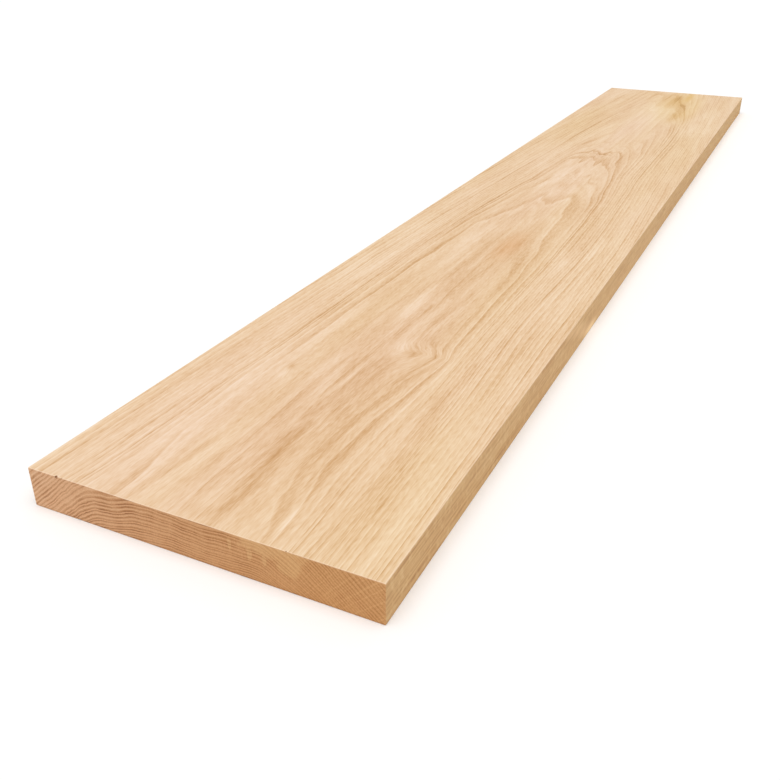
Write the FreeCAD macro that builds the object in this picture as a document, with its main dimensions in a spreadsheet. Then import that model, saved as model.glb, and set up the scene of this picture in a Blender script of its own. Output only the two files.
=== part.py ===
import FreeCAD
import Part
import Sketcher
import os

# A solid oak stair tread: one flat-sawn board, planed to size and cross-cut square at both ends.
# The frame: X runs along the tread, from string to string. Y runs across it, with the front edge
# at -Y and the back edge, where the riser meets it, at +Y. Z is up, and the underside lies on Z = 0.
# The origin is the middle of the underside.

# Driving dimensions, in millimetres
DIMENSIONS = {
    "tread_length": 1600,
    "tread_width": 260,
    "tread_thickness": 30,
    "long_arris_radius": 0.8,
    "end_arris_radius": 0.6,
}
NODE_NAME = "tread_board"
OUTPUT_FOLDER = "parts"


def make_dimension_sheet(document):
    """A sheet with one row for each driving dimension: its name, and its value under that alias."""
    sheet = document.addObject("Spreadsheet::Sheet", "Dimensions")
    for row, (alias, value) in enumerate(DIMENSIONS.items(), start=1):
        sheet.set(f"A{row}", alias)
        sheet.set(f"B{row}", str(value))
        sheet.setAlias(f"B{row}", alias)
    document.recompute()
    return sheet


def origin_plane(body, role):
    """The body's own origin plane with this role, such as YZ_Plane."""
    return next(plane for plane in body.Origin.OriginFeatures if plane.Role == role)


def draw_board_section(body, sheet):
    """The planed section: a rectangle standing on Z = 0, centred on the board's middle line."""
    sketch = body.newObject("Sketcher::SketchObject", "BoardSection")
    sketch.AttachmentSupport = [(origin_plane(body, "YZ_Plane"), "")]
    sketch.MapMode = "FlatFace"

    half_width = sheet.tread_width / 2
    corners = [
        FreeCAD.Vector(-half_width, 0, 0),
        FreeCAD.Vector(half_width, 0, 0),
        FreeCAD.Vector(half_width, sheet.tread_thickness, 0),
        FreeCAD.Vector(-half_width, sheet.tread_thickness, 0),
    ]
    underside, back, top, front = [
        sketch.addGeometry(Part.LineSegment(corners[i], corners[(i + 1) % 4])) for i in range(4)
    ]
    sides = (underside, back, top, front)
    for side, next_side in zip(sides, sides[1:] + sides[:1]):
        sketch.addConstraint(Sketcher.Constraint("Coincident", side, 2, next_side, 1))
    for level in (underside, top):
        sketch.addConstraint(Sketcher.Constraint("Horizontal", level))
    for upright in (back, front):
        sketch.addConstraint(Sketcher.Constraint("Vertical", upright))

    # The sketch's origin is point 1 of geometry -1: the underside's middle sits on it.
    sketch.addConstraint(Sketcher.Constraint("Symmetric", underside, 1, underside, 2, -1, 1))
    sketch.addConstraint(Sketcher.Constraint("DistanceX", underside, 1, underside, 2, sheet.tread_width))
    sketch.renameConstraint(sketch.ConstraintCount - 1, "width")
    sketch.setExpression("Constraints.width", "Dimensions.tread_width")
    sketch.addConstraint(Sketcher.Constraint("DistanceY", back, 1, back, 2, sheet.tread_thickness))
    sketch.renameConstraint(sketch.ConstraintCount - 1, "thickness")
    sketch.setExpression("Constraints.thickness", "Dimensions.tread_thickness")
    return sketch


def pad_to_length(body, section):
    """The board at its full length, equal amounts to each side of the section."""
    pad = body.newObject("PartDesign::Pad", "SawnBoard")
    pad.Profile = section
    pad.Midplane = True
    pad.setExpression("Length", "Dimensions.tread_length")
    body.Document.recompute()
    return pad


def edge_names(shape, wanted):
    """The names of the shape's edges that the test picks out."""
    return [f"Edge{number}" for number, edge in enumerate(shape.Edges, start=1) if wanted(edge)]


def runs_along_board(edge):
    """True for a straight edge along X."""
    return edge.Curve.TypeId == "Part::GeomLine" and abs(edge.Curve.Direction.x) > 0.5


def lies_in_an_end(edge):
    """True for an edge whose points all share one X, as those round a cross-cut end do."""
    return edge.BoundBox.XLength < edge.BoundBox.DiagonalLength / 1000


def round_edges(body, base, name, wanted, radius_alias):
    """Eases the picked edges of the base feature to the radius in the sheet."""
    fillet = body.newObject("PartDesign::Fillet", name)
    fillet.Base = (base, edge_names(base.Shape, wanted))
    fillet.setExpression("Radius", f"Dimensions.{radius_alias}")
    body.Document.recompute()
    return fillet


def make_tread_board(document, sheet):
    """The tread as one piece: section, length, planed long arrises and sanded end arrises."""
    body = document.addObject("PartDesign::Body", "TreadBoard")
    body.Label = NODE_NAME
    board = pad_to_length(body, draw_board_section(body, sheet))
    eased = round_edges(body, board, "LongArrises", runs_along_board, "long_arris_radius")
    round_edges(body, eased, "EndArrises", lies_in_an_end, "end_arris_radius")
    body.Placement = FreeCAD.Placement()
    return body


def check_document(document, bodies):
    """Stops the build if a feature failed, or a piece isn't one valid solid."""
    for item in document.Objects:
        if "Invalid" in item.State or "Error" in item.State:
            raise RuntimeError(f"{item.Label} failed: {item.State}")
    for body in bodies:
        if body.Shape.isNull() or not body.Shape.isValid() or len(body.Shape.Solids) != 1:
            raise RuntimeError(f"{body.Label} is not one valid solid")


def main():
    document = FreeCAD.newDocument("StairTread")
    sheet = make_dimension_sheet(document)
    bodies = [make_tread_board(document, sheet)]
    document.recompute()
    check_document(document, bodies)
    os.makedirs(OUTPUT_FOLDER, exist_ok=True)
    for body in bodies:
        box = body.Shape.optimalBoundingBox()
        print(f"{body.Label}: {box.XLength:.1f} x {box.YLength:.1f} x {box.ZLength:.1f} mm,"
              f" {body.Shape.Volume / 1e6:.3f} litres, {len(body.Shape.Faces)} faces")
        body.Shape.exportStep(os.path.join(OUTPUT_FOLDER, f"{body.Label}.step"))


main()
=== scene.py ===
# %% [markdown]
# # A solid oak stair tread
# One flat-sawn oak board, planed on its faces and cross-cut at its ends. The shape is simple, so
# nearly all of its character is in the wood: how the growth rings run through the board, and where
# each face cuts them. This lesson builds the board, grows one block of oak in shader nodes, and lets
# all six faces cut that same block, so that a line on top goes on down the end and the edge.

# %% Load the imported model
import math
import random
from functools import partial

import bmesh
import bpy
from mathutils import Euler, Matrix, Vector


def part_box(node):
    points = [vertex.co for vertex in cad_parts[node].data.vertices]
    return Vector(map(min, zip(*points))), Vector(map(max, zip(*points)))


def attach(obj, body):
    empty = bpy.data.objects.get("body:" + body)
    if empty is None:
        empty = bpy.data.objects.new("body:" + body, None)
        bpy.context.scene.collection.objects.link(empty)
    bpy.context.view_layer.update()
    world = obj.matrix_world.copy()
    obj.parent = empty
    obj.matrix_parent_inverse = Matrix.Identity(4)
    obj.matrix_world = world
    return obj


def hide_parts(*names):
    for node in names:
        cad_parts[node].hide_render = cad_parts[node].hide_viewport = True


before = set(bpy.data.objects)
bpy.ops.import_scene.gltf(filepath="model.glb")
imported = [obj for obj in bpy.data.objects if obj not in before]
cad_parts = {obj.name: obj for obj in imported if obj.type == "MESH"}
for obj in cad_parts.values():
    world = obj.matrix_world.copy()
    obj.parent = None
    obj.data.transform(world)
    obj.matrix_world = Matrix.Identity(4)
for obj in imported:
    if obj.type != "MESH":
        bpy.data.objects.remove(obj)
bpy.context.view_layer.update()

CAD_NODE = "tread_board"
MM = 0.001
board_low, board_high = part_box(CAD_NODE)
board_size = board_high - board_low
board_middle = (board_low + board_high) / 2
LENGTH, WIDTH, THICKNESS = (side / MM for side in board_size)
NEAR_END, FAR_END = -LENGTH / 2, LENGTH / 2
FRONT, BACK = -WIDTH / 2, WIDTH / 2
print(f"board {LENGTH:.0f} x {WIDTH:.0f} x {THICKNESS:.0f} mm")

# %% [markdown]
# ## The planed board
# A real tread is planed, cross-cut, and then its sharp arrises are eased with a sanding block. The
# four long arrises are a bevel on a cube. The outline of each end is eased less, and a bevel there
# would fold over itself where it meets the rounded corners, so the end face is inset a little and
# pushed out a little, in steps that follow a quarter circle.

# %% Ease a cube into the board
LONG_ARRIS = 0.8 * MM
END_ARRIS = 0.6 * MM
ARRIS_SEGMENTS = 3
QUARTER_TURN = math.pi / 2
END_FACING = 0.9


def ease_end(mesh, cap):
    """Rounds the outline of an end face in steps along a quarter circle."""
    angles = [QUARTER_TURN * step / ARRIS_SEGMENTS for step in range(ARRIS_SEGMENTS + 1)]
    for start, end in zip(angles, angles[1:]):
        inwards = END_ARRIS * (math.cos(start) - math.cos(end))
        outwards = END_ARRIS * (math.sin(end) - math.sin(start))
        bmesh.ops.inset_region(mesh, faces=[cap], thickness=inwards, depth=outwards,
                               use_boundary=True, use_even_offset=True)


board_mesh = bmesh.new()
bmesh.ops.create_cube(board_mesh, size=1.0)
uneased_size = board_size - Vector((2 * END_ARRIS, 0, 0))
bmesh.ops.scale(board_mesh, vec=uneased_size, verts=board_mesh.verts)
bmesh.ops.translate(board_mesh, vec=board_middle, verts=board_mesh.verts)
long_arrises = [edge for edge in board_mesh.edges if edge.calc_length() > board_size.x / 2]
bmesh.ops.bevel(board_mesh, geom=long_arrises, offset=LONG_ARRIS, offset_type="OFFSET", affect="EDGES",
                segments=ARRIS_SEGMENTS, profile=0.5, material=-1)
caps = [face for face in board_mesh.faces if abs(face.normal.x) > END_FACING]
for cap in caps:
    ease_end(board_mesh, cap)
print(f"eased board: {len(board_mesh.faces)} faces")

# %% [markdown]
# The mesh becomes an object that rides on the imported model's one body and stands for its board. It
# stays at the origin, unturned and unscaled, so that Object coordinates are places on the board.

# %% Make the board a piece of the frame
def make_object(mesh, name, material):
    """Turns a finished bmesh into an object of one material, and puts it in the scene."""
    data = bpy.data.meshes.new(name)
    mesh.to_mesh(data)
    mesh.free()
    data.materials.append(material)
    made = bpy.data.objects.new(name, data)
    bpy.context.scene.collection.objects.link(made)
    return made


oak = bpy.data.materials.new("planed_white_oak")
oak_tread = make_object(board_mesh, "oak_tread", oak)
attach(oak_tread, "root")
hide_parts(CAD_NODE)
print(f"{oak_tread.name} rides on the root and stands for {CAD_NODE}")

# %% [markdown]
# ## Torn fibres
# A cross-cut saw tears the last fibres away, so the ends of a raw board miss small chips along their
# edges. Paint could darken them, but a chip also breaks the outline, so each is cut out as a rough
# little ball set on the edge. A seeded dice places the small ones, the same on every run.

# %% Where the chips are
# Larger chips of the near end: place across the board, height, and half width
NEAR_CHIPS = [(105.5, THICKNESS - 0.5, 1.35), (92.0, 0.0, 1.3), (-70.0, 0.0, 1.2), (-95.0, 0.0, 1.1)]
SMALL_CHIPS = 7
SMALLEST_CHIP, LARGEST_CHIP = 0.3, 0.6
CHIP_SPAN = WIDTH - 16.0
CHIP_SPREAD = (0.2, 0.8)
CHIP_SEED = 7

dice = random.Random(CHIP_SEED)
chips = [(NEAR_END, *chip) for chip in NEAR_CHIPS]
for end in (NEAR_END, FAR_END):
    for edge_height in (0.0, THICKNESS):
        for step in range(SMALL_CHIPS):
            chip_across = CHIP_SPAN * ((step + dice.uniform(*CHIP_SPREAD)) / SMALL_CHIPS - 0.5)
            chips.append((end, chip_across, edge_height, dice.uniform(SMALLEST_CHIP, LARGEST_CHIP)))
print(f"{len(chips)} chips")

# %% Shape the chips
CHIP_LENGTHS = (0.7, 1.3)
CHIP_HEIGHTS = (0.6, 1.0)
chip_mesh = bmesh.new()
for chip_along, chip_across, chip_height, half_width in chips:
    turn = Euler([dice.uniform(0, math.tau) for axis in range(3)]).to_matrix().to_4x4()
    stretch = Vector((dice.uniform(*CHIP_LENGTHS), 1.0, dice.uniform(*CHIP_HEIGHTS))) * half_width * MM
    chip_place = Vector((chip_along, chip_across, chip_height)) * MM
    chip_shape = Matrix.Translation(chip_place) @ Matrix.Diagonal(stretch).to_4x4() @ turn
    bmesh.ops.create_icosphere(chip_mesh, subdivisions=1, radius=1.0, matrix=chip_shape)
# The chips' material is dark partly as painted shade for their hollows
torn_oak_shaded = bpy.data.materials.new("torn_oak_fibres_with_painted_shade")
chip_object = make_object(chip_mesh, "chips", torn_oak_shaded)
print(f"chips: {len(chip_object.data.polygons)} faces")

# %% [markdown]
# One Boolean modifier takes all the balls out of the board, and gives their own material, torn fibres
# darkened with painted shade, to the faces that it cuts. The result is kept as the board's own mesh,
# because the balls are then removed. Weighted normals keep the large faces flat beside the small round
# arrises.

# %% Take the chips out of the board
carving = oak_tread.modifiers.new("take the chips out", "BOOLEAN")
carving.operation = "DIFFERENCE"
carving.solver = "EXACT"
carving.material_mode = "TRANSFER"
carving.object = chip_object
carved = oak_tread.evaluated_get(bpy.context.evaluated_depsgraph_get())
oak_tread.data = bpy.data.meshes.new_from_object(carved)
oak_tread.modifiers.clear()
bpy.data.objects.remove(chip_object)
oak_tread.data.shade_smooth()
oak_tread.modifiers.new("flat faces stay flat", "WEIGHTED_NORMAL")
print(f"chipped board: {len(oak_tread.data.polygons)} faces")

# %% [markdown]
# ## Two helpers for materials
# Colours are written as the sRGB hex values that a colour picker shows, and Blender's sockets want
# linear light, so one function converts them. Another adds a node, sets it up and links it, which
# keeps a long node tree readable as a recipe.

# %% Colour and node helpers
MATH = "ShaderNodeMath"
VECTOR_MATH = "ShaderNodeVectorMath"
# Its inputs: a value, the two ends of the range it comes from, and the two ends of the range it goes to
MAP_RANGE = "ShaderNodeMapRange"
MIX = "ShaderNodeMix"
NOISE = "ShaderNodeTexNoise"


def linear(hex_colour):
    """An sRGB hex colour, such as EBC9A5, as linear red, green, blue and alpha."""
    channels = [int(hex_colour[start:start + 2], 16) / 255 for start in (0, 2, 4)]
    return [c / 12.92 if c <= 0.04045 else ((c + 0.055) / 1.055) ** 2.4 for c in channels] + [1.0]


def first_output(node):
    """The first output that the node's settings leave in use."""
    return next(output for output in node.outputs if output.enabled)


def add(tree, kind, *inputs, **settings):
    """Adds a node, sets its properties, and sets or links its inputs, which come in order or in one
    dictionary by name. A node given as an input is linked by its first output."""
    node = tree.nodes.new(kind)
    for name, value in settings.items():
        setattr(node, name, value)
    by_name = inputs and isinstance(inputs[0], dict)
    for name, value in inputs[0].items() if by_name else enumerate(inputs):
        named = [socket for socket in node.inputs if socket.enabled and socket.name == name]
        socket = named[0] if named else node.inputs[name]
        if isinstance(value, bpy.types.Node):
            value = first_output(value)
        if isinstance(value, bpy.types.NodeSocket):
            tree.links.new(value, socket)
        else:
            socket.default_value = value
    return node


print(f"half as bright as white is hex BC: {linear('BCBCBC')[0]:.2f}")

# %% [markdown]
# ## A block of oak
# The material is white oak, planed and left raw: pale and warm, with darker lines of pores and a dull
# sheen, because nothing fills its surface. Its nodes read Object coordinates, turned into millimetres
# here, so that every size below is a size on the board.

# %% Where a point lies in the block
oak.use_nodes = True
oak_shader = oak.node_tree.nodes["Principled BSDF"]
oak_node = partial(add, oak.node_tree)
coordinates = oak_node("ShaderNodeTexCoord")
place = oak_node(VECTOR_MATH, {0: coordinates.outputs["Object"], "Scale": 1 / MM}, operation="SCALE")
along, across, height = oak_node("ShaderNodeSeparateXYZ", place).outputs
share_along = oak_node(MAP_RANGE, along, NEAR_END, FAR_END)


def tell(made):
    """Says what a cell made, and how far the oak's node tree has grown."""
    print(f"{made}: {len(oak.node_tree.nodes)} nodes so far")


tell("places in the block")

# %% [markdown]
# Knots, stains and pale places are all local. A painted mask could hold them, but this board uses no
# images, so one function makes an oval spot that fades towards its edge, and another adds a list of
# such spots to a running total. A spot reaches down into the wood, as the real ones do.

# %% Oval spots in the wood
REACH_DOWN = 26.0


def patch(middle_along, middle_across, half_length, half_width, middle_height=THICKNESS,
          half_height=REACH_DOWN):
    """An oval spot: 1 in its middle, which is on the top face unless told otherwise, and 0 at its edge."""
    middle = (middle_along, middle_across, middle_height)
    from_middle = oak_node(VECTOR_MATH, place, middle, operation="SUBTRACT")
    shrink = (1 / half_length, 1 / half_width, 1 / half_height)
    shares = oak_node(VECTOR_MATH, from_middle, shrink, operation="MULTIPLY")
    reach = oak_node(VECTOR_MATH, shares, operation="LENGTH").outputs["Value"]
    return oak_node(MAP_RANGE, reach, 0.0, 1.0, 1.0, 0.0, interpolation_type="SMOOTHSTEP")


def add_patches(total, patches, torn_by=None):
    """Adds spots to a total. Each is what patch() takes and then an amount, and noise may tear it."""
    for *oval, amount in patches.values():
        spot = patch(*oval)
        if torn_by is not None:
            spot = oak_node(MATH, spot, torn_by, operation="MULTIPLY")
        total = oak_node(MATH, spot, amount, total, operation="MULTIPLY_ADD")
    return total


print(f"a spot on the top reaches {REACH_DOWN:.0f} of {THICKNESS:.0f} mm down")

# %% [markdown]
# ## Knots
# A twig that the trunk grew round leaves a small knot, and the grain beside it is pinched into a sharp
# dip. Everything that follows reads the place across the board from here, so it all bends together.

# %% Pinch the grain at the knots
# Each knot: its place along and across, its reach before and past the crease, its half width, and how
# far it moves the grain
KNOTS = {
    "whorl": (-535.0, -34.0, 62.0, 26.0, 32.0, 15.0),
    "pin knot": (-603.0, 50.0, 26.0, 26.0, 15.0, -4.0),
}
OVAL_PER_REACH = 1.6
CREASE_SHARPNESS = 1.6
WOBBLE_SIZE = 8.0
WOBBLE_REACH = 9.0
wobble = oak_node(NOISE, {"Vector": place, "Scale": 1 / WOBBLE_SIZE, "Detail": 1.0})
wobbly_along = oak_node(MATH, wobble, WOBBLE_REACH, along, operation="MULTIPLY_ADD")
for knot_along, knot_across, reach_before, reach_past, knot_width, knot_dip in KNOTS.values():
    knot_oval = patch(knot_along, knot_across, OVAL_PER_REACH * reach_before, knot_width)
    past_crease = oak_node(MATH, wobbly_along, knot_along + WOBBLE_REACH / 2, operation="SUBTRACT")
    share_before = oak_node(MATH, past_crease, -1 / reach_before, operation="MULTIPLY")
    share_past = oak_node(MATH, past_crease, 1 / reach_past, operation="MULTIPLY")
    crease_distance = oak_node(MATH, share_before, share_past, operation="MAXIMUM")
    even_crease = oak_node(MAP_RANGE, crease_distance, 0.0, 1.0, 1.0, 0.0)
    sharp_crease = oak_node(MATH, even_crease, CREASE_SHARPNESS, operation="POWER")
    crease = oak_node(MATH, sharp_crease, knot_dip, operation="MULTIPLY")
    across = oak_node(MATH, knot_oval, crease, across, operation="MULTIPLY_ADD")
tell(" and ".join(KNOTS))

# %% [markdown]
# Two dark growth lines and two pale bands make the whorl's nested creases. Each is a narrow band about
# one place across the pinched grain, so it takes the crease from the step before.

# %% The lines through the whorl
# Each line: its place across the board beside the whorl, its half width, and how much darker it is
WHORL_LINES = [(3.0, 7.0, -0.18), (-7.0, 2.0, 0.1), (-19.0, 5.0, -0.12), (-35.0, 2.2, 0.22)]
WHORL_OVAL = (-545.0, -32.0, 66.0, 37.0)
whorl_area = patch(*WHORL_OVAL)
whorl_tone = 0.0
for line_across, line_half_width, line_darker in WHORL_LINES:
    off_line = oak_node(MATH, across, line_across, operation="SUBTRACT")
    line_distance = oak_node(MATH, off_line, operation="ABSOLUTE")
    band = oak_node(MAP_RANGE, line_distance, 0.0, line_half_width, line_darker, 0.0,
                    interpolation_type="SMOOTHSTEP")
    whorl_tone = oak_node(MATH, band, whorl_area, whorl_tone, operation="MULTIPLY_ADD")
tell(f"{len(WHORL_LINES)} lines in the whorl")

# %% [markdown]
# ## The growth rings
# A flat-sawn board comes from beside the heart of the log with the bark side up. Its rings are arches:
# a flat crown under the middle of the board and shoulders that fall away to both sides at about 40
# degrees. The log also tapers, so each arch sinks along the board, and where the top face cuts the
# crowns the lines close into the pointed arches that joiners call cathedrals. One number at every
# point, the height of its ring above a first one, gives all of this.

# %% Arches about the pith
CROWN_NEAR = 67.0
CROWN_FAR = 51.0
CROWN_NARROWED = 0.56
SHOULDER_SLOPE = 0.9
CROWN_ROUNDING = 36.0
PITH_NEAR = 9.0
PITH_FAR = -2.0
pith = oak_node(MAP_RANGE, share_along, 0.0, 1.0, PITH_NEAR, PITH_FAR)
off_pith = oak_node(MATH, across, pith, operation="SUBTRACT")
aside = oak_node(MATH, off_pith, operation="ABSOLUTE")
crown = oak_node(MAP_RANGE, share_along, 0.0, CROWN_NARROWED, CROWN_NEAR, CROWN_FAR)
past_crown = oak_node(MATH, aside, crown, operation="SUBTRACT")
shoulder = oak_node(MATH, past_crown, SHOULDER_SLOPE, operation="MULTIPLY")
arch = oak_node(MATH, shoulder, 0.0, CROWN_ROUNDING, operation="SMOOTH_MAX")
tell("arches")

# %% Sink the arches along the board
TAPER_STEADY = 12.0
TAPER_GROWING = 38.0
LEAST_TAPER = 9.5
TAPER_ROUNDING = 8.0
steepness = oak_node(MATH, share_along, TAPER_GROWING, TAPER_STEADY, operation="MULTIPLY_ADD")
growing_taper = oak_node(MATH, share_along, steepness, operation="MULTIPLY")
taper = oak_node(MATH, growing_taper, LEAST_TAPER, TAPER_ROUNDING, operation="SMOOTH_MAX")
depth = oak_node(MATH, height, THICKNESS, operation="SUBTRACT")
sunk_arch = oak_node(MATH, arch, taper, operation="ADD")
level = oak_node(MATH, sunk_arch, depth, operation="ADD")
tell("sinking arches")

# %% [markdown]
# The fibres follow the rings, so streaks in the wood lean inwards as the arches close. The streaks get
# coordinates of their own, sheared on each side of the pith by the same taper. A second function makes
# a factor of such streaks, for whatever comes and goes along the board.

# %% Streaks that follow the fibres
LEANING_FROM = 45.0
USUAL_SWING = 0.2
side = oak_node(MAP_RANGE, off_pith, -LEANING_FROM, LEANING_FROM, -1 / SHOULDER_SLOPE, 1 / SHOULDER_SLOPE,
                interpolation_type="SMOOTHSTEP")
flow_across = oak_node(MATH, side, taper, across, operation="MULTIPLY_ADD")
flow = oak_node("ShaderNodeCombineXYZ", {"X": along, "Y": flow_across, "Z": height})


def streaks(length, width, detail=1.0, shift=0.0):
    """Noise drawn out along the fibres, from -0.5 to 0.5, with streaks about this long and wide. Each
    layer has its own size or shift, so that no two lie on each other."""
    pace = (1 / length, 1 / width, 1 / width)
    stretched = oak_node(VECTOR_MATH, flow, pace, (shift, shift, shift), operation="MULTIPLY_ADD")
    noise = oak_node(NOISE, {"Vector": stretched, "Scale": 1.0, "Detail": detail})
    return oak_node(MATH, noise, 0.5, operation="SUBTRACT")


def drifting(low, high, length, width, detail=1.0, shift=0.0, swing=USUAL_SWING):
    """A factor that drifts between low and high in streaks. Noise past the swing stays at low or high."""
    streak = streaks(length, width, detail, shift)
    return oak_node(MAP_RANGE, streak, -swing, swing, low, high)


tell("fibre coordinates")

# %% [markdown]
# A tree doesn't grow by ruler. Noise in four sizes makes the rings wander: slow waves along the trunk,
# ripples that give the cathedral its ragged tip, and a fine tremble.

# %% Let the rings wander
# Each wander: its length along the board, its width across it, and how far it moves a ring
WANDERS = [(420.0, 75.0, 4.0), (140.0, 28.0, 4.2), (90.0, 14.0, 1.2), (60.0, 7.0, 0.3)]
for wander_length, wander_width, wander_reach in WANDERS:
    wander = streaks(wander_length, wander_width)
    level = oak_node(MATH, wander, wander_reach, level, operation="MULTIPLY_ADD")
tell(f"{len(WANDERS)} sizes of wander")

# %% [markdown]
# In the near half the crown lies almost flat in the face, and there the smallest bump of a ring shows as
# a long flame.

# %% Flames in the crown
FLAME_LENGTH, FLAME_WIDTH = 170.0, 14.0
FLAME_REACH = 2.0
FLAME_OVAL = (-540.0, 0.0, 460.0, 66.0)
flame_streaks = streaks(FLAME_LENGTH, FLAME_WIDTH, shift=5.0)
flames = oak_node(MATH, flame_streaks, FLAME_REACH, operation="MULTIPLY")
flame_area = patch(*FLAME_OVAL)
level = oak_node(MATH, flames, flame_area, level, operation="MULTIPLY_ADD")
tell("flames")

# %% [markdown]
# The near end comes from close to the foot of the tree, where the rings are rippled at the back and
# undulate gently in the middle.

# %% Ripple the rings at the near end
# Each ripple: its width, how far it moves a ring, its place across, its half length and its half width
RIPPLES = [(8.0, 3.4, 88.0, 150.0, 42.0), (30.0, 4.0, -5.0, 80.0, 95.0)]
RIPPLE_LENGTH = 80.0
RIPPLE_DEPTH = 60.0
for ripple_width, ripple_reach, ripple_across, area_length, area_width in RIPPLES:
    ripple = streaks(RIPPLE_LENGTH, ripple_width, shift=13.0)
    ripple_area = patch(NEAR_END, ripple_across, area_length, area_width, THICKNESS / 2, RIPPLE_DEPTH)
    local_ripple = oak_node(MATH, ripple, ripple_area, operation="MULTIPLY")
    level = oak_node(MATH, local_ripple, ripple_reach, level, operation="MULTIPLY_ADD")
tell("ripples at the near end")

# %% [markdown]
# On that end the rings also sag in one place, hump up in another and step down in a third. Noise would put
# such bends anywhere, so they are placed one by one.

# %% Bend the rings at the near end
# Each bend: its place across, its half width, and how far it moves a ring
END_BENDS = {"sag": (61.0, 18.0, 2.4), "hump": (22.0, 30.0, -1.6), "step": (-48.0, 15.0, -1.8)}
END_BEND_LENGTH = 90.0
for bend_across, bend_width, bend_reach in END_BENDS.values():
    bend = patch(NEAR_END, bend_across, END_BEND_LENGTH, bend_width, THICKNESS / 2, RIPPLE_DEPTH)
    level = oak_node(MATH, bend, bend_reach, level, operation="MULTIPLY_ADD")
tell(", ".join(END_BENDS))

# %% [markdown]
# Here and there the trunk had a healed bump or a hollow, and the rings swell or dip to follow it.

# %% Swell the rings
# Each swell: its place along and across, its half length and half width, and how far it moves a ring
SWELLS = {
    "near eye": (-745.0, -8.0, 110.0, 20.0, 1.7),
    "near hollow": (-770.0, 32.0, 150.0, 24.0, -1.2),
    "before the whorl": (-685.0, -52.0, 130.0, 32.0, 3.0),
    "back of the crown": (-200.0, 72.0, 430.0, 34.0, -3.0),
    "back of the tip": (140.0, 42.0, 130.0, 28.0, -2.8),
    "notch in the tip": (205.0, 6.0, 70.0, 13.0, 0.7),
    "front of the tip": (222.0, -18.0, 75.0, 20.0, -2.2),
    "beside the whorl": (-470.0, -24.0, 75.0, 26.0, 1.3),
    "past the whorl": (-430.0, -88.0, 220.0, 42.0, 4.5),
    "front shoulder": (430.0, -68.0, 340.0, 45.0, -6.0),
    "far tip": (790.0, 0.0, 130.0, 60.0, -2.5),
    "far back": (620.0, 52.0, 200.0, 30.0, 4.0),
}
level = add_patches(level, SWELLS)
tell(f"{len(SWELLS)} swells")

# %% [markdown]
# ## Counting the rings
# The count starts at the bold ring that draws the main cathedral. Good years lay down wide rings and
# bad years narrow ones, so a curve takes the height to the count. The tree grew a little faster on the
# back side, which widens the rings there.

# %% Even out the growth
MAIN_RING_LEVEL = 22.4
GROWTH_FRONT = 0.82
GROWTH_BACK = 1.03
growth = oak_node(MAP_RANGE, across, FRONT, BACK, GROWTH_FRONT, GROWTH_BACK)
above_main = oak_node(MATH, level, MAIN_RING_LEVEL, operation="SUBTRACT")
even_height = oak_node(MATH, above_main, growth, operation="DIVIDE")
tell("height above the main ring")

# %% Count and number the rings
# Heights of some rings above the main one, in millimetres, by their number
RING_HEIGHTS = {-14: -39.5, -12: -35.4, -11: -32.2, -10: -30.4, -9: -27.2, -8: -24.2, -7: -22.4,
                -6: -18.8, -5: -16.8, -4: -13.3, -3: -9.7, -2: -4.7, -1: -1.7, 0: 0.0, 1: 3.4, 8: 25.0,
                12: 45.0, 20: 74.0}
LINE_LEAD = 0.1
first_ring, *inner_rings, last_ring = sorted(RING_HEIGHTS)
lowest, highest = RING_HEIGHTS[first_ring], RING_HEIGHTS[last_ring]
height_share = oak_node(MAP_RANGE, even_height, lowest, highest, clamp=False)
years = oak_node("ShaderNodeFloatCurve", {"Value": height_share})
years.mapping.extend = "EXTRAPOLATED"
# A new curve has its first and last points already
for ring in inner_rings:
    height_place = (RING_HEIGHTS[ring] - lowest) / (highest - lowest)
    ring_share = (ring - first_ring) / (last_ring - first_ring)
    years.mapping.curves[0].points.new(height_place, ring_share).handle_type = "VECTOR"
years.mapping.update()
rings = oak_node(MAP_RANGE, years, 0.0, 1.0, float(first_ring), float(last_ring), clamp=False)
within_ring = oak_node(MATH, rings, operation="FRACT")
number_shifted = oak_node(MATH, rings, LINE_LEAD, operation="ADD")
ring_number = oak_node(MATH, number_shifted, operation="FLOOR")
tell(f"rings {first_ring} to {last_ring}")

# %% [markdown]
# ## Pore lines
# Oak is ring porous: each spring it lays down a row of wide pores, and then dense summer wood. On a
# planed face the pores show as a fine dark line that fades outwards into the paler summer wood.

# %% Draw each year's line
CROWN_FADE = 0.3
SHOULDER_FADE = 0.9
FADE_POWER = 1.6
SHOULDER_FROM, SHOULDER_TO = 15.0, 60.0
on_shoulder = oak_node(MAP_RANGE, aside, SHOULDER_FROM, SHOULDER_TO)
fade_end = oak_node(MAP_RANGE, on_shoulder, 0.0, 1.0, CROWN_FADE, SHOULDER_FADE)
nearness = oak_node(MAP_RANGE, within_ring, 0.0, fade_end, 1.0, 0.0)
fading = oak_node(MATH, nearness, FADE_POWER, operation="POWER")
starting = oak_node(MAP_RANGE, within_ring, 1 - LINE_LEAD, interpolation_type="SMOOTHSTEP")
pore_line = oak_node(MATH, fading, starting, operation="MAXIMUM")
tell("a line for each year")
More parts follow.
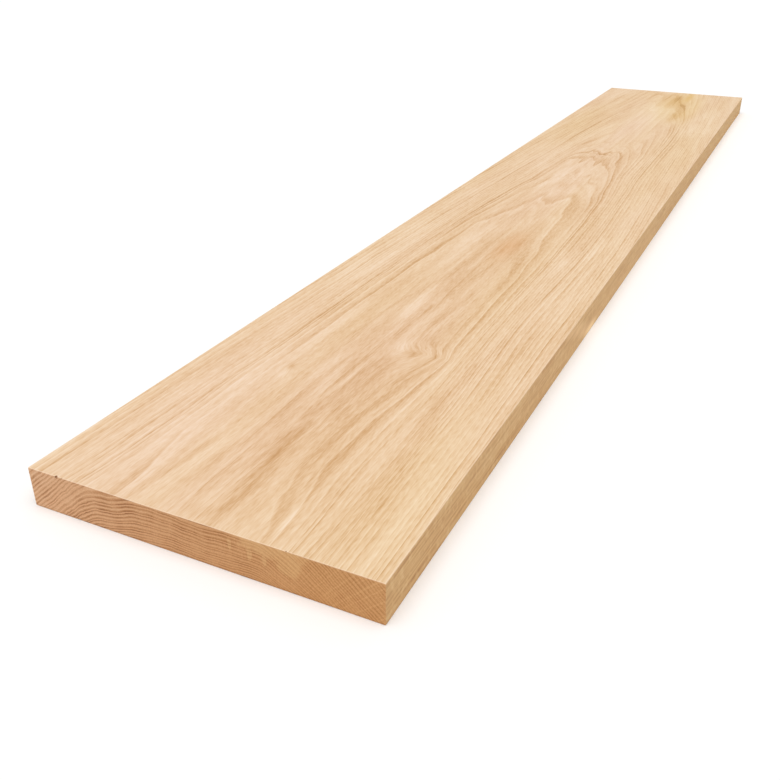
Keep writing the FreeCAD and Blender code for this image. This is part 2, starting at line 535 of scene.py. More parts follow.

# %% [markdown]
# Some years leave a bold line and some hardly any. White noise on the ring's number gives each year a
# strength of its own, and the boldest years, listed, get more.

# %% Strong and faint years
FAINTEST_YEAR = 0.3
STRONGEST_YEAR = 0.7
CROWN_STRENGTH = 0.7
HALF_A_RING = 0.5
BOLD_YEARS = {-3: 0.3, -2: 0.1, -1: 0.4, 0: 0.4, 8: 0.35, 15: 0.2}
chance = oak_node("ShaderNodeTexWhiteNoise", {"W": ring_number}, noise_dimensions="1D").outputs["Value"]
year_strength = oak_node(MAP_RANGE, chance, 0.0, 1.0, FAINTEST_YEAR, STRONGEST_YEAR)
for bold_year, extra in BOLD_YEARS.items():
    is_year = oak_node(MATH, ring_number, float(bold_year), HALF_A_RING, operation="COMPARE")
    year_strength = oak_node(MATH, is_year, extra, year_strength, operation="MULTIPLY_ADD")
shoulder_strength = oak_node(MAP_RANGE, on_shoulder, 0.0, 1.0, CROWN_STRENGTH)
year_line = oak_node(MATH, pore_line, year_strength, operation="MULTIPLY")
even_line = oak_node(MATH, year_line, shoulder_strength, operation="MULTIPLY")
tell(f"{len(BOLD_YEARS)} bold years")

# %% [markdown]
# A line also comes and goes along the board, in long stretches, and close to it breaks up into the
# dashes of single pores.

# %% Bold and calm stretches
# Each stretch: place along and across, half length, half width, and how much bolder its lines are
BOLD_STRETCHES = {
    "whorl": (-537.0, -40.0, 50.0, 30.0, 0.2),
    "calm back": (-640.0, 105.0, 400.0, 60.0, -0.45),
    "calm front": (-720.0, -95.0, 260.0, 60.0, -0.4),
    "near eye": (-715.0, -12.0, 120.0, 22.0, -0.5),
    "pale triangle": (-525.0, -13.0, 40.0, 15.0, -1.5),
    "pale far zone": (470.0, -5.0, 310.0, 60.0, -1.7),
    "front shoulder": (300.0, -72.0, 520.0, 18.0, 0.3),
    "back line": (-500.0, 82.0, 400.0, 13.0, 0.35),
    "calm far back": (560.0, 60.0, 330.0, 45.0, -0.5),
    "calm front of the tip": (135.0, -33.0, 75.0, 13.0, -0.6),
    "tip": (205.0, 6.0, 60.0, 45.0, 0.35),
    "front of the tip": (165.0, -22.0, 75.0, 20.0, 0.45),
}
coming_and_going = drifting(low=0.55, high=1.3, length=220.0, width=14.0, shift=3.0, swing=0.25)
any_boldness = add_patches(coming_and_going, BOLD_STRETCHES)
boldness = oak_node(MATH, any_boldness, 0.0, operation="MAXIMUM")
long_line = oak_node(MATH, even_line, boldness, operation="MULTIPLY")
dashes = drifting(low=0.85, high=1.12, length=20.0, width=1.5, shift=41.0)
line = oak_node(MATH, long_line, dashes, operation="MULTIPLY")
tell(f"{len(BOLD_STRETCHES)} bold or calm stretches")

# %% [markdown]
# The last wood of each summer is the palest, so a light rim lies against every dark line and makes it
# look crisp.

# %% A pale rim before each line
RIM_START = 0.72
RIM_TONE = -0.10
CROWN_RIM = 0.4
rim_rise = oak_node(MAP_RANGE, within_ring, RIM_START, 1 - LINE_LEAD)
before_line = oak_node(MATH, within_ring, 1 - LINE_LEAD, operation="LESS_THAN")
rim = oak_node(MATH, rim_rise, before_line, operation="MULTIPLY")
bold_rim = oak_node(MATH, rim, boldness, operation="MULTIPLY")
rim_tone = oak_node(MAP_RANGE, on_shoulder, 0.0, 1.0, CROWN_RIM * RIM_TONE, RIM_TONE)
strong_rim = oak_node(MATH, bold_rim, rim_tone, operation="MULTIPLY")
tell("pale rims")

# %% [markdown]
# The fibres lie in fine bundles a few millimetres apart that waver along the board. They show between
# the rings, above all in the crown, where the ring lines are far apart.

# %% Fibre bundles
BUNDLE_SPACING = 7.5
BUNDLE_DRIFT = 4.5
BUNDLE_SHARPNESS = 2.4
SHOULDER_SHARE = 0.4
drift_streaks = streaks(length=260.0, width=30.0, detail=2.0, shift=23.0)
drift = oak_node(MATH, drift_streaks, BUNDLE_DRIFT, operation="MULTIPLY")
bundles = oak_node(MATH, flow_across, 1 / BUNDLE_SPACING, drift, operation="MULTIPLY_ADD")
within_bundle = oak_node(MATH, bundles, operation="FRACT")
bundle_line = oak_node(MATH, within_bundle, BUNDLE_SHARPNESS, operation="POWER")
bundle_shade = oak_node(MATH, bundle_line, 1 / (1 + BUNDLE_SHARPNESS), operation="SUBTRACT")
bundle_strength = drifting(low=0.0, high=1.0, length=150.0, width=10.0, shift=29.0)
in_crown = oak_node(MAP_RANGE, on_shoulder, 0.0, 1.0, 1.0, SHOULDER_SHARE)
crown_strength = oak_node(MATH, bundle_strength, in_crown, operation="MULTIPLY")
bundle_tone = oak_node(MATH, bundle_shade, crown_strength, operation="MULTIPLY")
tell("fibre bundles")

# %% [markdown]
# Between the pore lines the wood still varies, a little lighter and darker in waves that run with the
# rings. In the flat crown, where the rings lie almost in the surface, these waves make the flames.

# %% Waves between the lines
WAVES_PER_RING = 2.35
wave_turns = oak_node(MATH, rings, WAVES_PER_RING * math.tau, operation="MULTIPLY")
wave = oak_node(MATH, wave_turns, operation="SINE")
crown_wave = oak_node(MATH, wave, in_crown, operation="MULTIPLY")
patchy_wave = oak_node(MATH, crown_wave, boldness, operation="MULTIPLY")
tell("waves")

# %% [markdown]
# ## The tone of the long grain
# All that darkens or lightens the wood is added up as one tone, and a colour ramp later turns it into
# oak. Real pores are a quarter of a millimetre wide, too fine to show here, so they are drawn about
# three times as wide.

# %% Add up the tone
MIDDLE_TONE = 0.35
LINE_TONE = 0.38
WAVE_TONE = 0.045
FLAME_WAVE_TONE = 0.045
BUNDLE_TONE = 0.18
# Each layer of streaks: length and width in millimetres, detail, and how much tone it adds
TONE_STREAKS = [(330.0, 46.0, 2.0, 0.28), (110.0, 11.0, 1.0, 0.32), (16.0, 2.4, 1.0, 0.2),
                (7.0, 1.1, 1.0, 0.4)]
lined = oak_node(MATH, line, LINE_TONE, MIDDLE_TONE, operation="MULTIPLY_ADD")
rimmed = oak_node(MATH, lined, strong_rim, operation="ADD")
bundled = oak_node(MATH, bundle_tone, BUNDLE_TONE, rimmed, operation="MULTIPLY_ADD")
wave_tone = oak_node(MATH, flame_area, FLAME_WAVE_TONE, WAVE_TONE, operation="MULTIPLY_ADD")
waved = oak_node(MATH, patchy_wave, wave_tone, bundled, operation="MULTIPLY_ADD")
tone = oak_node(MATH, waved, whorl_tone, operation="ADD")
for streak_length, streak_width, detail, amount in TONE_STREAKS:
    streak = streaks(streak_length, streak_width, detail, shift=7.0)
    tone = oak_node(MATH, streak, amount, tone, operation="MULTIPLY_ADD")
tell("tone of the lines and streaks")

# %% [markdown]
# Then come the places that make this one board: its dark eye, its pale streaks, its blotch and its
# stain. Streaks tear the spots, so that they fade along the fibres as colour in wood does.

# %% Pale and dark places
# Each place: along and across, half length, half width, and how much darker
PATCHES = {
    "dark eye": (-745.0, -14.0, 80.0, 20.0, 0.10),
    "streak by the whorl": (-565.0, 7.0, 75.0, 10.0, 0.07),
    "pale streak": (-435.0, 13.0, 90.0, 12.0, -0.22),
    "second pale streak": (-280.0, 36.0, 125.0, 12.0, -0.2),
    "third pale streak": (40.0, 29.0, 95.0, 13.0, -0.2),
    "warm blotch": (-240.0, -9.0, 60.0, 20.0, 0.2),
    "pale fleck": (-775.0, -53.0, 36.0, 5.0, -0.18),
    "pale triangle": (-527.0, -13.0, 30.0, 11.0, -0.2),
    "pale far zone": (540.0, 4.0, 150.0, 34.0, -0.03),
    "pale back": (-760.0, 95.0, 270.0, 80.0, -0.11),
    "pale front": (-270.0, -95.0, 260.0, 55.0, -0.18),
    "pale far front": (400.0, -97.0, 300.0, 50.0, -0.11),
    "pale back past the tip": (180.0, 100.0, 150.0, 30.0, -0.07),
    "pale mid back": (-330.0, 104.0, 260.0, 42.0, -0.16),
    "pale far end": (700.0, -60.0, 500.0, 160.0, -0.1),
    "pale far back": (745.0, 105.0, 140.0, 50.0, -0.1),
    "pale back of the tip": (90.0, 68.0, 220.0, 30.0, -0.07),
    "pale front of the tip": (170.0, -62.0, 320.0, 26.0, -0.08),
    "warm front of the crown": (-560.0, -32.0, 340.0, 27.0, 0.09),
    "darker crown": (-520.0, -5.0, 420.0, 60.0, 0.09),
    "near flames": (-690.0, -6.0, 140.0, 42.0, 0.08),
    "stained tip": (715.0, -12.0, 110.0, 34.0, 0.2),
    "stain haze": (555.0, -43.0, 80.0, 17.0, 0.25),
    "stain core": (728.0, -19.0, 55.0, 8.0, 0.28),
    "band in the tip": (213.0, 5.0, 15.0, 24.0, 0.16),
    "wedge behind the tip": (138.0, 44.0, 34.0, 7.0, 0.12),
    "pale in the tip": (135.0, 14.0, 45.0, 9.0, -0.1),
    "pale before the whorl": (-549.0, -22.0, 15.0, 8.0, -0.14),
    "brown past the whorl": (-514.0, -29.0, 24.0, 13.0, 0.06),
    "upper crease": (-537.0, -26.5, 9.0, 3.0, 0.1),
    "lower crease": (-536.0, -45.0, 11.0, 4.0, 0.14),
    "pin knot": (-600.0, 51.0, 8.0, 6.0, 0.22),
    "beside the pin knot": (-614.0, 52.0, 10.0, 6.0, -0.14),
}
ragged = drifting(low=0.4, high=1.4, length=70.0, width=7.0, detail=2.0, shift=11.0)
tone = add_patches(tone, PATCHES, torn_by=ragged)
tell(f"{len(PATCHES)} pale and dark places")

# %% [markdown]
# Some years laid down paler or darker wood for their whole width. Such a year fills one arch of a
# cathedral from line to line.

# %% Pale and dark years
# Each: the ring's number, place along and across, half length, half width, and how much darker
YEAR_TONES = [(6, 470.0, 5.0, 330.0, 60.0, -0.14), (8, 420.0, 65.0, 330.0, 45.0, 0.1),
              (-2, 60.0, 15.0, 210.0, 60.0, -0.14), (-1, 170.0, 0.0, 150.0, 60.0, 0.08)]
for year, *oval, darker in YEAR_TONES:
    is_year = oak_node(MATH, ring_number, float(year), HALF_A_RING, operation="COMPARE")
    ragged_year = oak_node(MATH, patch(*oval), ragged, operation="MULTIPLY")
    year_tone = oak_node(MATH, ragged_year, darker, operation="MULTIPLY")
    tone = oak_node(MATH, is_year, year_tone, tone, operation="MULTIPLY_ADD")
tell(f"{len(YEAR_TONES)} pale or dark years")

# %% [markdown]
# Near the far end a brown mineral stain has soaked through a few rings and stopped sharply at one of
# them. It is drawn by the rings' own count, so its edge is the line of that ring.

# %% The stain at the far end
STAIN_RING = 8.0
STAIN_DEPTH = 1.3
STAIN_PAST_RING = 0.15
STAIN_TONE = 0.3
STAIN_OVAL = (625.0, -38.0, 190.0, 40.0)
stain_area = patch(*STAIN_OVAL)
soaked = oak_node(MAP_RANGE, rings, STAIN_RING - STAIN_DEPTH, STAIN_RING, interpolation_type="SMOOTHSTEP")
inside_ring = oak_node(MATH, rings, STAIN_RING + STAIN_PAST_RING, operation="LESS_THAN")
soaked_inside = oak_node(MATH, soaked, inside_ring, operation="MULTIPLY")
stain = oak_node(MATH, soaked_inside, stain_area, operation="MULTIPLY")
tone = oak_node(MATH, stain, STAIN_TONE, tone, operation="MULTIPLY_ADD")
tell("stain")

# %% [markdown]
# ## The colour of the long grain
# A ramp takes the tone from the pale summer wood to the brown of the pores. Parts of the board are
# a little pinker and parts a little yellower, so a tint is multiplied over the ramp.

# %% Turn the tone into oak
OAK_TONES = [(0.0, "F5E0C8"), (0.25, "EDD2B1"), (0.45, "E3C199"), (0.7, "CDA16E"), (1.0, "A06F3D")]
PINKER = "FFFAFF"
YELLOWER = "FFFEF2"
EVEN_HUE = 0.5
HUE_DRIFT = 0.6
# Zones of pinker or yellower wood: place along and across, half length, half width, and how much pinker
HUE_ZONES = {
    "near back": (-700.0, 75.0, 320.0, 90.0, 0.3),
    "crown": (-520.0, 0.0, 380.0, 52.0, 0.45),
    "front": (300.0, -90.0, 700.0, 60.0, -0.2),
    "middle": (60.0, 20.0, 400.0, 60.0, 0.25),
    "pale far zone": (440.0, 5.0, 190.0, 40.0, 0.3),
    "near front corner": (-740.0, -105.0, 160.0, 50.0, -0.15),
    "far back": (430.0, 95.0, 300.0, 60.0, -0.35),
    "stain": (660.0, -30.0, 260.0, 60.0, -0.8),
}


def wood_colour(wood_tone, tones):
    """The colour of this tone, between the colours that the list gives for some tones."""
    made = oak_node("ShaderNodeValToRGB", {"Fac": wood_tone})
    elements = made.color_ramp.elements
    for element, (position, colour) in zip(elements, (tones[0], tones[-1])):
        element.position = position
        element.color = linear(colour)
    for position, colour in tones[1:-1]:
        elements.new(position).color = linear(colour)
    return made


def tinted(wood, share, first_tint, second_tint, amount=1.0):
    """The wood multiplied by a tint, which the share takes from the first to the second."""
    tint = oak_node(MIX, {"Factor": share, "A": linear(first_tint), "B": linear(second_tint)},
                    data_type="RGBA")
    return oak_node(MIX, {"Factor": amount, "A": wood, "B": tint}, data_type="RGBA", blend_type="MULTIPLY")


hue_streaks = streaks(length=300.0, width=40.0, shift=19.0)
even_pinkness = oak_node(MATH, hue_streaks, HUE_DRIFT, EVEN_HUE, operation="MULTIPLY_ADD")
pinkness = add_patches(even_pinkness, HUE_ZONES)
long_grain = tinted(wood_colour(tone, OAK_TONES), pinkness, YELLOWER, PINKER)
tell(f"{len(OAK_TONES)} tones of oak")

# %% [markdown]
# The stain is ochre as well as dark, and yellowest just outside its edge. The blotch in the crown is a
# warm brown. Both are colours mixed into the wood, because a darker tone alone would stay oak brown.

# %% Stained places
OCHRE = "E1B972"
WARM = "E6B484"
# Each: place along and across, half length, half width, how much of the colour shows, and the colour
STAINS = [(752.0, -36.0, 90.0, 12.0, 0.85, OCHRE), (705.0, -22.0, 170.0, 62.0, 0.42, OCHRE),
          (560.0, -45.0, 100.0, 22.0, 0.3, OCHRE), (590.0, -63.0, 200.0, 22.0, 0.3, OCHRE),
          (745.0, 28.0, 90.0, 30.0, 0.15, OCHRE), (-250.0, -9.0, 75.0, 22.0, 0.45, WARM)]


def stained(wood, share, stain_colour):
    """The wood with this share of another colour mixed in."""
    return oak_node(MIX, {"Factor": share, "A": wood, "B": linear(stain_colour)}, data_type="RGBA")


for *oval, stain_share, stain_colour in STAINS:
    stain_mix = oak_node(MATH, patch(*oval), stain_share, operation="MULTIPLY")
    long_grain = stained(long_grain, stain_mix, stain_colour)
tell(f"{len(STAINS)} stained places")

# %% [markdown]
# ## The narrow edges
# The edges were ripped by a saw and planed more roughly than the faces, most of all by the near end.
# They cut the rings almost square, so their lines are blurred to a mottle along the grain, and the rays
# show as small pale flecks that stand across it.

# %% Mottle the edges
EDGE_MIDDLE_TONE = 0.48
# Each layer: length and width in millimetres, and how much tone it adds
EDGE_MOTTLES = [(110.0, 2.6, 0.7), (28.0, 1.7, 0.55)]
NEAR_TEAR = 1.7
CLEAN_FROM = -250.0
FLECK_SIZE = (4.0, 4.0, 5.0)
FLECK_FROM, FLECK_TO = 0.52, 0.75
FLECK_TONE = -0.2
tear = oak_node(MAP_RANGE, along, NEAR_END, CLEAN_FROM, NEAR_TEAR, 1.0)
mottle = EDGE_MIDDLE_TONE
for mottle_length, mottle_width, mottle_amount in EDGE_MOTTLES:
    flecks = streaks(mottle_length, mottle_width, detail=2.0, shift=31.0)
    torn_flecks = oak_node(MATH, flecks, tear, operation="MULTIPLY")
    mottle = oak_node(MATH, torn_flecks, mottle_amount, mottle, operation="MULTIPLY_ADD")
fleck_place = oak_node(VECTOR_MATH, place, FLECK_SIZE, operation="DIVIDE")
fleck_noise = oak_node(NOISE, {"Vector": fleck_place, "Scale": 1.0, "Detail": 1.0})
ray_flecks = oak_node(MAP_RANGE, fleck_noise, FLECK_FROM, FLECK_TO, 0.0, FLECK_TONE)
mottle = oak_node(MATH, ray_flecks, tear, mottle, operation="MULTIPLY_ADD")
tell("mottled edges")

# %% Colour the edges
EDGE_TINT = "E9D5A9"
FAR_EDGE_TINT = "EAD7A0"
EDGE_BLUR = 0.75
EDGE_FROM, EDGE_TO = 0.4, 0.9
facing = oak_node("ShaderNodeSeparateXYZ", coordinates.outputs["Normal"])
edge_facing = oak_node(MATH, facing.outputs["Y"], operation="ABSOLUTE")
is_edge = oak_node(MAP_RANGE, edge_facing, EDGE_FROM, EDGE_TO)
edge_share = oak_node(MATH, is_edge, EDGE_BLUR, operation="MULTIPLY")
blurred_grain = oak_node(MIX, {"Factor": edge_share, "A": long_grain, "B": wood_colour(mottle, OAK_TONES)},
                         data_type="RGBA")
face_grain = tinted(blurred_grain, share_along, EDGE_TINT, FAR_EDGE_TINT, amount=is_edge)
tell("coloured edges")

# %% [markdown]
# On the front edge a pale streak of sapwood slants down to a small bright golden spot, which is a painted
# highlight. Four oval patches, each lower than the one before, draw them, and a long faint one spreads a
# little sapwood along the edge.

# %% The sapwood streak and its painted highlight on the front edge
# Each patch: its place along and its height, its half length and half height, and how much of the pale
# colour shows; the fourth, strongest one is the painted highlight
SAP_STREAK_AND_HIGHLIGHT = [(-432.0, 28.0, 26.0, 10.0, 0.3), (-410.0, 20.0, 26.0, 10.0, 0.35),
              (-388.0, 12.0, 26.0, 10.0, 0.4), (-362.0, 3.0, 34.0, 9.0, 0.95),
              (-220.0, 4.0, 350.0, 17.0, 0.13)]
# One pale colour serves both the sapwood and the painted highlight at the low end of the streak
SAPWOOD_AND_HIGHLIGHT = "FFD79E"
SAP_DEPTH = 14.0
for sap_along, sap_height, sap_length, sap_tall, sap_and_highlight_share in SAP_STREAK_AND_HIGHLIGHT:
    sap_and_highlight_spot = patch(sap_along, FRONT, sap_length, SAP_DEPTH, sap_height, sap_tall)
    sap_and_highlight_amount = oak_node(MATH, sap_and_highlight_spot, is_edge, operation="MULTIPLY")
    sap_and_highlight_mix = oak_node(MATH, sap_and_highlight_amount, sap_and_highlight_share, operation="MULTIPLY")
    face_grain = stained(face_grain, sap_and_highlight_mix, SAPWOOD_AND_HIGHLIGHT)
tell("sapwood streak")

# %% [markdown]
# ## End grain
# The cross-cut ends show the rings edge on. Here a line is dark in its middle and fades to both sides.
# The lines are faint towards the front, strong towards the back and worn in the back corner.

# %% The rings on the ends
END_LINE_SHARPNESS = 1.35
FAINTEST_END_YEAR = 0.52
FRONT_FAINTNESS = 0.45
BACK_STRENGTH = 1.25
FAINT_CORNER = 0.68
CORNER_FROM, CORNER_TO = 85.0, 120.0
from_boundary = oak_node(MATH, rings, HALF_A_RING, operation="PINGPONG")
even_profile = oak_node(MAP_RANGE, from_boundary, 0.0, HALF_A_RING, 1.0, 0.0)
end_profile = oak_node(MATH, even_profile, END_LINE_SHARPNESS, operation="POWER")
end_strength = oak_node(MAP_RANGE, chance, 0.0, 1.0, FAINTEST_END_YEAR, 1.0)
end_years = oak_node(MATH, end_profile, end_strength, operation="MULTIPLY")
towards_back = oak_node(MAP_RANGE, across, FRONT, BACK, FRONT_FAINTNESS, BACK_STRENGTH)
end_drift = drifting(low=0.5, high=1.2, length=60.0, width=11.0, detail=2.0, shift=37.0)
corner = oak_node(MAP_RANGE, across, CORNER_FROM, CORNER_TO, 1.0, FAINT_CORNER)
corner_drift = oak_node(MATH, end_drift, corner, operation="MULTIPLY")
drifting_years = oak_node(MATH, end_years, corner_drift, operation="MULTIPLY")
end_pores = oak_node(MATH, drifting_years, towards_back, operation="MULTIPLY")
tell("rings on the ends")

# %% [markdown]
# Cut fibres soak up light, so the ends are darker and warmer than the faces. The saw leaves a speckle of
# open pores, and a darker line along the bottom of each end is painted shade, where the board meets the
# floor.

# %% The tone of the ends
END_MIDDLE_TONE = 0.32
END_LINE_TONE = 0.72
END_WAVE_TONE = 0.05
SPECKLES_PER_MM = 0.9
SPECKLE_TONE = 0.45
BOTTOM_SHADE_HEIGHT = 1.6
BOTTOM_SHADE_TONE = 0.3
PALE_FROM, PALE_TO = 40.0, 125.0
PALE_BACK_TONE = -0.1
end_line = oak_node(MATH, end_pores, END_LINE_TONE, END_MIDDLE_TONE, operation="MULTIPLY_ADD")
end_wave = oak_node(MATH, wave, END_WAVE_TONE, end_line, operation="MULTIPLY_ADD")
end_speckle = oak_node(NOISE, {"Vector": place, "Scale": SPECKLES_PER_MM, "Detail": 2.0})
speckle_centred = oak_node(MATH, end_speckle, 0.5, operation="SUBTRACT")
speckled_tone = oak_node(MATH, speckle_centred, SPECKLE_TONE, end_wave, operation="MULTIPLY_ADD")
# Painted shade: each end is darker in its lowest millimetre and a half, where it meets the floor
painted_bottom_shade = oak_node(MAP_RANGE, height, 0.0, BOTTOM_SHADE_HEIGHT, BOTTOM_SHADE_TONE, 0.0)
pale_back = oak_node(MAP_RANGE, across, PALE_FROM, PALE_TO, 0.0, PALE_BACK_TONE)
bottom_shaded_tone = oak_node(MATH, speckled_tone, painted_bottom_shade, operation="ADD")
end_tone = oak_node(MATH, bottom_shaded_tone, pale_back, operation="ADD")
tell("tone of the ends")

# %% [markdown]
# Rays are thin sheets of soft cells that run out from the pith like spokes. On the end they cross the
# rings as fine pale lines, clearest where the rings are steep. They are a tenth of a millimetre thick
# and are drawn wider here to show.

# %% Rays across the rings
PITH_DEPTH = 100.0
RAYS_PER_RADIAN = 110.0
RAY_FROM, RAY_TO = 0.52, 0.72
STEEP_FROM, STEEP_TO = -60.0, -115.0
FAINTEST_RAY = 0.15
RAY_TONE = -0.1
above_pith = oak_node(MATH, height, PITH_DEPTH, operation="ADD")
ray_angle = oak_node(MATH, off_pith, above_pith, operation="ARCTAN2")
ray_count = oak_node(MATH, ray_angle, RAYS_PER_RADIAN, operation="MULTIPLY")
ray_noise = oak_node(NOISE, {"W": ray_count, "Scale": 1.0, "Detail": 0.0}, noise_dimensions="1D")
rays = oak_node(MAP_RANGE, ray_noise, RAY_FROM, RAY_TO)
steep = oak_node(MAP_RANGE, across, STEEP_FROM, STEEP_TO, FAINTEST_RAY, 1.0)
clear_rays = oak_node(MATH, rays, steep, operation="MULTIPLY")
rayed_tone = oak_node(MATH, clear_rays, RAY_TONE, end_tone, operation="MULTIPLY_ADD")
tell("rays")

# %% [markdown]
# Where the blade rubbed, the cut fibres were closed and polished to a paler, golden patch with a ragged
# edge. The rings still show through it, so it only makes the tone paler and mixes in a little gold. A
# ramp of warmer browns than the faces have then colours the ends, more golden towards the front.

# %% The rubbed patch
RUBBED_TONE = -0.13
RUBBED_DEPTH = 40.0
RAGS_PER_MM = 0.22
RAGGEDNESS = 0.8
RUBBED_FROM, RUBBED_TO = 0.66, 0.94
# Each part of it: place across and height, half width and half height
RUBBED = [(-56.0, 31.0, 42.0, 18.0), (-68.0, 20.0, 15.0, 15.0), (-41.5, 20.0, 3.2, 10.0),
          (-27.5, 22.0, 2.4, 8.0), (-51.5, 19.0, 2.6, 8.0)]
rubbed = 0.0
for rub_across, rub_height, rub_width, rub_tall in RUBBED:
    rub = patch(NEAR_END, rub_across, RUBBED_DEPTH, rub_width, rub_height, rub_tall)
    rubbed = oak_node(MATH, rubbed, rub, operation="MAXIMUM")
rough_edge = oak_node(NOISE, {"Vector": place, "Scale": RAGS_PER_MM, "Detail": 3.0})
rubbed_rough = oak_node(MATH, rough_edge, RAGGEDNESS, rubbed, operation="MULTIPLY_ADD")
rubbed_mask = oak_node(MAP_RANGE, rubbed_rough, RUBBED_FROM, RUBBED_TO)
rubbed_tone = oak_node(MATH, rubbed_mask, RUBBED_TONE, rayed_tone, operation="MULTIPLY_ADD")
tell("rubbed patch")

# %% Colour the ends
END_TONES = [(0.0, "EFC9A2"), (0.35, "DAA87E"), (0.65, "BD875A"), (1.0, "935D36")]
END_PINKER = "FFFFFF"
END_GOLDER = "F1E5C2"
GOLDEN_FROM, GOLDEN_TO = -90.0, 120.0
RUBBED_GOLD = "D9B174"
RUBBED_SHARE = 0.16
end_hue_share = oak_node(MAP_RANGE, across, GOLDEN_FROM, GOLDEN_TO)
end_hued = tinted(wood_colour(rubbed_tone, END_TONES), end_hue_share, END_GOLDER, END_PINKER)
rubbed_gold = oak_node(MATH, rubbed_mask, RUBBED_SHARE, operation="MULTIPLY")
end_grain = stained(end_hued, rubbed_gold, RUBBED_GOLD)
tell("coloured ends")

# %% [markdown]
# ## One surface
# The normal says which face a point is on, and picks long grain or end grain. Along the rounded arrises a
# pale colour is mixed in as a painted highlight, where the eased edges would catch the light.

# %% Put faces, edges, ends and arrises together
ARRIS_HIGHLIGHT_COLOUR = "F8DFC4"
ARRIS_HIGHLIGHT_STRENGTH = 0.9
END_FROM, END_TO = 0.5, 0.8
end_facing = oak_node(MATH, facing.outputs["X"], operation="ABSOLUTE")
is_end = oak_node(MAP_RANGE, end_facing, END_FROM, END_TO)
wood = oak_node(MIX, {"Factor": is_end, "A": face_grain, "B": end_grain}, data_type="RGBA")
sideways = oak_node(MATH, end_facing, edge_facing, operation="ADD")
upwards = oak_node(MATH, facing.outputs["Z"], operation="ABSOLUTE")
# Painted highlight: where a face turns half sideways and half up, on the rounded arrises, a pale colour is
# mixed in
arris_highlight_mask = oak_node(MATH, sideways, upwards, operation="MULTIPLY")
painted_arris_highlight = oak_node(MATH, arris_highlight_mask, ARRIS_HIGHLIGHT_STRENGTH, operation="MULTIPLY")
colour = stained(wood, painted_arris_highlight, ARRIS_HIGHLIGHT_COLOUR)
oak.node_tree.links.new(first_output(colour), oak_shader.inputs["Base Color"])
tell("oak's colour")

# %% [markdown]
# Planing leaves the pores as fine furrows along the board. A bump works out what it reads three times
# over, so the furrows are a short noise of their own and not the whole tone. Raw wood has a dull sheen,
# and the sawn ends have less of it.

# %% Relief and sheen
FURROW_LENGTH = 16.0
FURROW_WIDTH = 1.4
FURROW_DEPTH = 0.12 * MM
FURROW_STRENGTH = 0.6
FACE_ROUGHNESS = 0.58
END_ROUGHNESS = 0.8
WOOD_IOR = 1.5
furrow_pace = (1 / FURROW_LENGTH, 1 / FURROW_WIDTH, 1 / FURROW_WIDTH)
furrow_place = oak_node(VECTOR_MATH, place, furrow_pace, operation="MULTIPLY")
furrows = oak_node(NOISE, {"Vector": furrow_place, "Scale": 1.0, "Detail": 1.0})
relief = oak_node("ShaderNodeBump", {"Height": furrows, "Distance": FURROW_DEPTH,
                                     "Strength": FURROW_STRENGTH})
sheen = oak_node(MAP_RANGE, is_end, 0.0, 1.0, FACE_ROUGHNESS, END_ROUGHNESS)
oak.node_tree.links.new(relief.outputs["Normal"], oak_shader.inputs["Normal"])
oak.node_tree.links.new(first_output(sheen), oak_shader.inputs["Roughness"])
oak_shader.inputs["IOR"].default_value = WOOD_IOR
tell("finished oak")

# %% [markdown]
# Torn fibres stand open, so light gets lost between them. They look darker than the sawn wood and have
# almost no sheen, and their colour is darkened further as painted shade for the hollows of the chips.

# %% Torn fibres
# Both colours are darker than the end grain, partly as painted shade in the chips' hollows
TORN_SHADED_DARK = "8A5836"
TORN_SHADED_LIGHT = "C0906A"
TORN_TUFTS_PER_MM = 0.8
TORN_ROUGHNESS = 0.95
torn_oak_shaded.use_nodes = True
torn_shader = torn_oak_shaded.node_tree.nodes["Principled BSDF"]
torn_node = partial(add, torn_oak_shaded.node_tree)
torn_place = torn_node("ShaderNodeTexCoord").outputs["Object"]
torn_noise = torn_node(NOISE, {"Vector": torn_place, "Scale": TORN_TUFTS_PER_MM / MM})
torn_shaded_colour = torn_node(MIX, {"Factor": torn_noise, "A": linear(TORN_SHADED_DARK), "B": linear(TORN_SHADED_LIGHT)},
                        data_type="RGBA")
torn_oak_shaded.node_tree.links.new(first_output(torn_shaded_colour), torn_shader.inputs["Base Color"])
torn_shader.inputs["Roughness"].default_value = TORN_ROUGHNESS
torn_shader.inputs["IOR"].default_value = WOOD_IOR
print(f"torn fibres: {len(torn_oak_shaded.node_tree.nodes)} nodes")

# %% [markdown]
# ## The studio
# The floor is a large sheet painted matt white. It has no gloss at all, so the board has a soft shadow
# under it and no reflection.

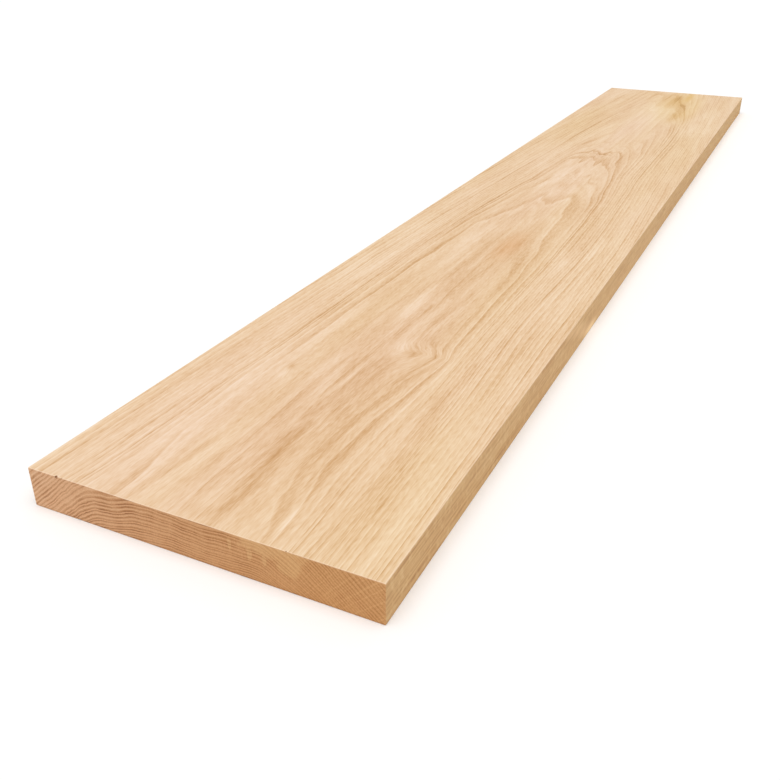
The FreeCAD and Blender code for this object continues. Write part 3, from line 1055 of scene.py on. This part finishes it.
# %% Floor
FLOOR_HALF_SIZE = 80.0
FLOOR_WHITE = "FAFAFA"
floor_paint = bpy.data.materials.new("matt_white_paint")
floor_paint.use_nodes = True
floor_shader = floor_paint.node_tree.nodes["Principled BSDF"]
floor_shader.inputs["Base Color"].default_value = linear(FLOOR_WHITE)
floor_shader.inputs["Roughness"].default_value = 1.0
floor_shader.inputs["Specular IOR Level"].default_value = 0.0
floor_mesh = bmesh.new()
bmesh.ops.create_grid(floor_mesh, x_segments=1, y_segments=1, size=FLOOR_HALF_SIZE)
floor = make_object(floor_mesh, "studio_floor", floor_paint)
print(f"floor {2 * FLOOR_HALF_SIZE:.0f} m wide")

# %% [markdown]
# The light is soft and comes mostly from above. A sun lamp that is 60 degrees wide acts as a bright
# ceiling, and the air's even light fills the shadows.

# %% Light
AIR_WHITE = "FFFFFF"
AIR_LIGHT = 0.45
CEILING_LIGHT = 2.05
CEILING_SPREAD = 60.0
CEILING_DIRECTION = Vector((-0.2, -0.1, 0.975))
air = bpy.data.worlds.new("studio_air")
air.use_nodes = True
background = air.node_tree.nodes["Background"]
background.inputs["Color"].default_value = linear(AIR_WHITE)
background.inputs["Strength"].default_value = AIR_LIGHT
bpy.context.scene.world = air
ceiling_data = bpy.data.lights.new("bright_ceiling", "SUN")
ceiling_data.angle = math.radians(CEILING_SPREAD)
ceiling_data.energy = CEILING_LIGHT
ceiling = bpy.data.objects.new("bright_ceiling", ceiling_data)
ceiling.rotation_euler = CEILING_DIRECTION.to_track_quat("Z", "Y").to_euler()
bpy.context.scene.collection.objects.link(ceiling)
print(f"ceiling light {CEILING_LIGHT}, air {AIR_LIGHT}")

# %% [markdown]
# The camera stands close to one end and looks down along the board. Its place, turn and lens were worked
# out from the corners of the board in the reference view. The Standard view transform shows the colours
# as they were picked.

# %% Camera
CAMERA_PLACE = (-1.1281, -0.2920, 0.3458)
CAMERA_TURN = 25.926
CAMERA_DIP = 28.339
SENSOR_WIDTH = 36.0
LENS = 40.546
camera_data = bpy.data.cameras.new("camera")
camera_data.sensor_width = SENSOR_WIDTH
camera_data.lens = LENS
camera = bpy.data.objects.new("camera", camera_data)
camera.location = CAMERA_PLACE
camera.rotation_euler = (math.radians(90 - CAMERA_DIP), 0.0, math.radians(CAMERA_TURN - 90))
bpy.context.scene.collection.objects.link(camera)
bpy.context.scene.camera = camera
bpy.context.scene.view_settings.view_transform = "Standard"
print(f"camera turned {CAMERA_TURN} and dipped {CAMERA_DIP} degrees")
